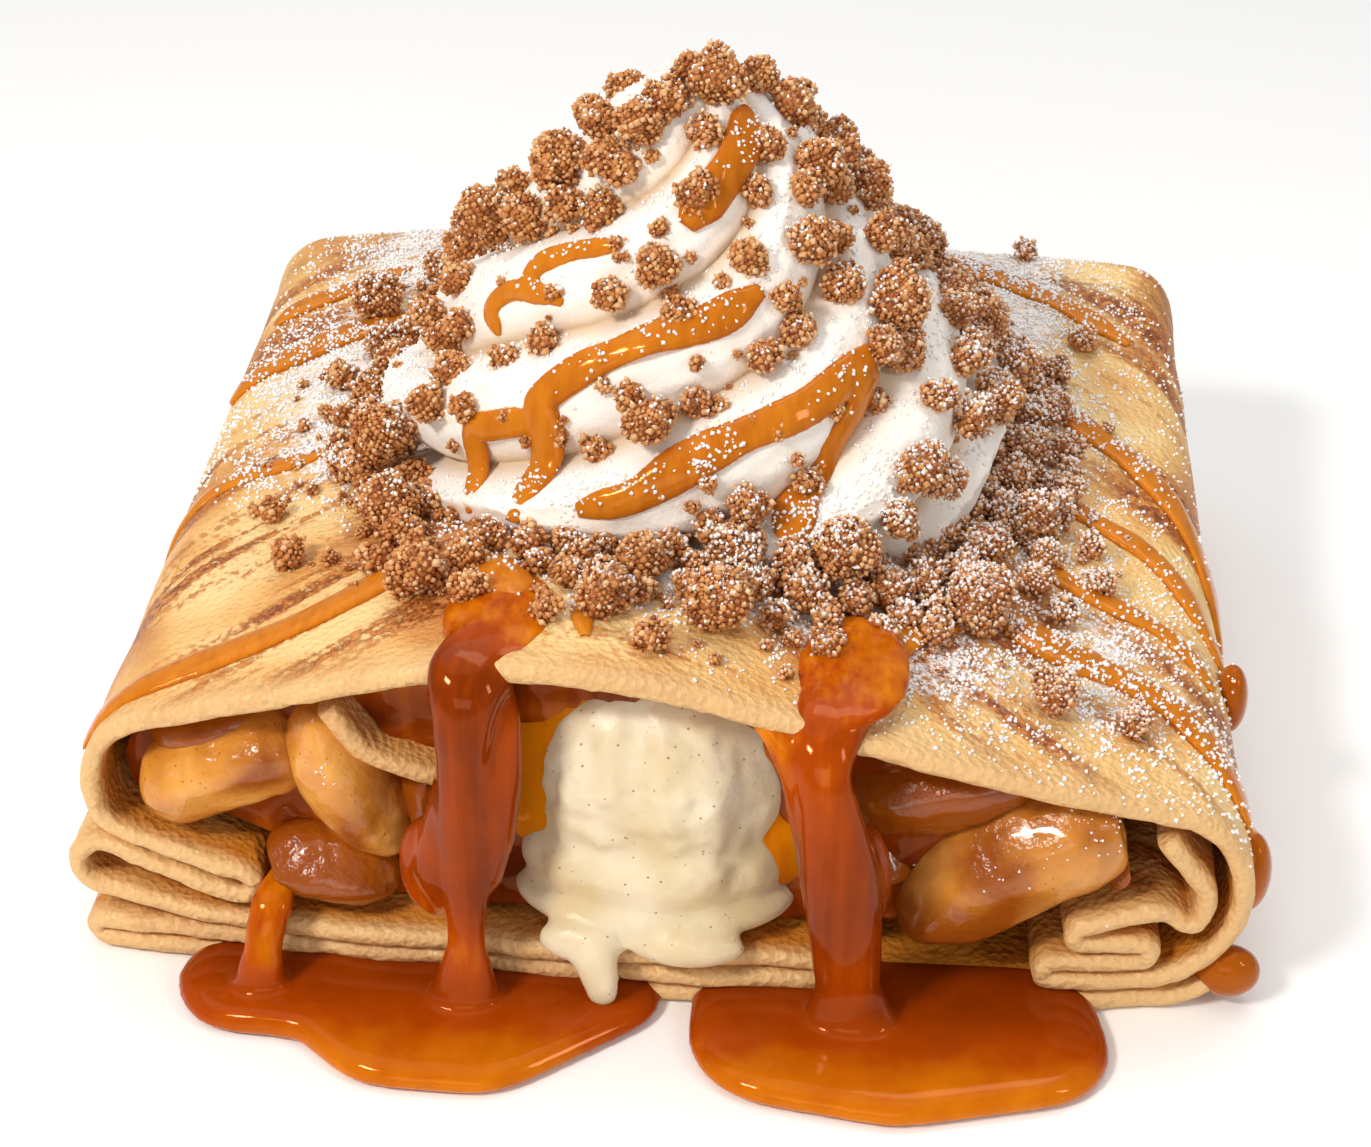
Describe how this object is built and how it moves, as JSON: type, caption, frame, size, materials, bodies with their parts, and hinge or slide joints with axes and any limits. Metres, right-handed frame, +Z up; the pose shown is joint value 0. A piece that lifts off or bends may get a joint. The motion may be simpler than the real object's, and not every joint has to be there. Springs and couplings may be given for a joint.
{
  "type": "rolled crepe",
  "caption": "Folded and rolled crepe, open at the front on baked apples, caramel sauce and a scoop of vanilla ice cream, with whipped cream, crumble and caramel on top.",
  "frame": {"origin": "middle of the flat underside of the crepe", "axes": "+X along the crepe's width to the right as seen from its open end, +Y away from the open end, +Z up through the cream's tip"},
  "size_m": [0.183, 0.1833, 0.1232],
  "materials": {
    "crepe": "soft fried batter, pale yellow with brown griddle streaks and powdered sugar",
    "cream": "whipped cream, soft and slightly moist",
    "ice_cream": "vanilla ice cream with fine specks, melting at the foot",
    "caramel": "clear glossy caramel sauce",
    "apple": "baked apple glazed with syrup",
    "crumble": "baked butter crumble, dry and grainy"
  },
  "bodies": {
    "root": {"apple_slice_1": "apple", "apple_slice_2": "apple", "apple_slice_3": "apple", "apple_slice_4": "apple", "apple_slice_5": "apple", "apple_slice_6": "apple", "apple_slice_7": "apple", "apple_slice_8": "apple", "apple_slice_9": "apple", "caramel_left": "caramel", "caramel_right": "caramel", "crepe": "crepe", "crumble_01": "crumble", "crumble_02": "crumble", "crumble_03": "crumble", "crumble_04": "crumble", "crumble_05": "crumble", "crumble_06": "crumble", "crumble_07": "crumble", "crumble_08": "crumble", "crumble_09": "crumble", "crumble_10": "crumble", "crumble_11": "crumble", "crumble_12": "crumble", "crumble_13": "crumble", "crumble_14": "crumble", "crumble_15": "crumble", "crumble_16": "crumble", "crumble_17": "crumble", "crumble_18": "crumble", "crumble_19": "crumble", "crumble_20": "crumble", "crumble_21": "crumble", "crumble_22": "crumble", "crumble_23": "crumble", "crumble_24": "crumble", "crumble_25": "crumble", "crumble_26": "crumble", "crumble_27": "crumble", "crumble_28": "crumble", "crumble_29": "crumble", "crumble_30": "crumble", "crumble_31": "crumble", "crumble_32": "crumble", "crumble_33": "crumble", "crumble_34": "crumble", "filling": "caramel", "ice_cream": "ice_cream", "inner_layer": "crepe", "whipped_cream": "cream"}
  },
  "joints": []
}
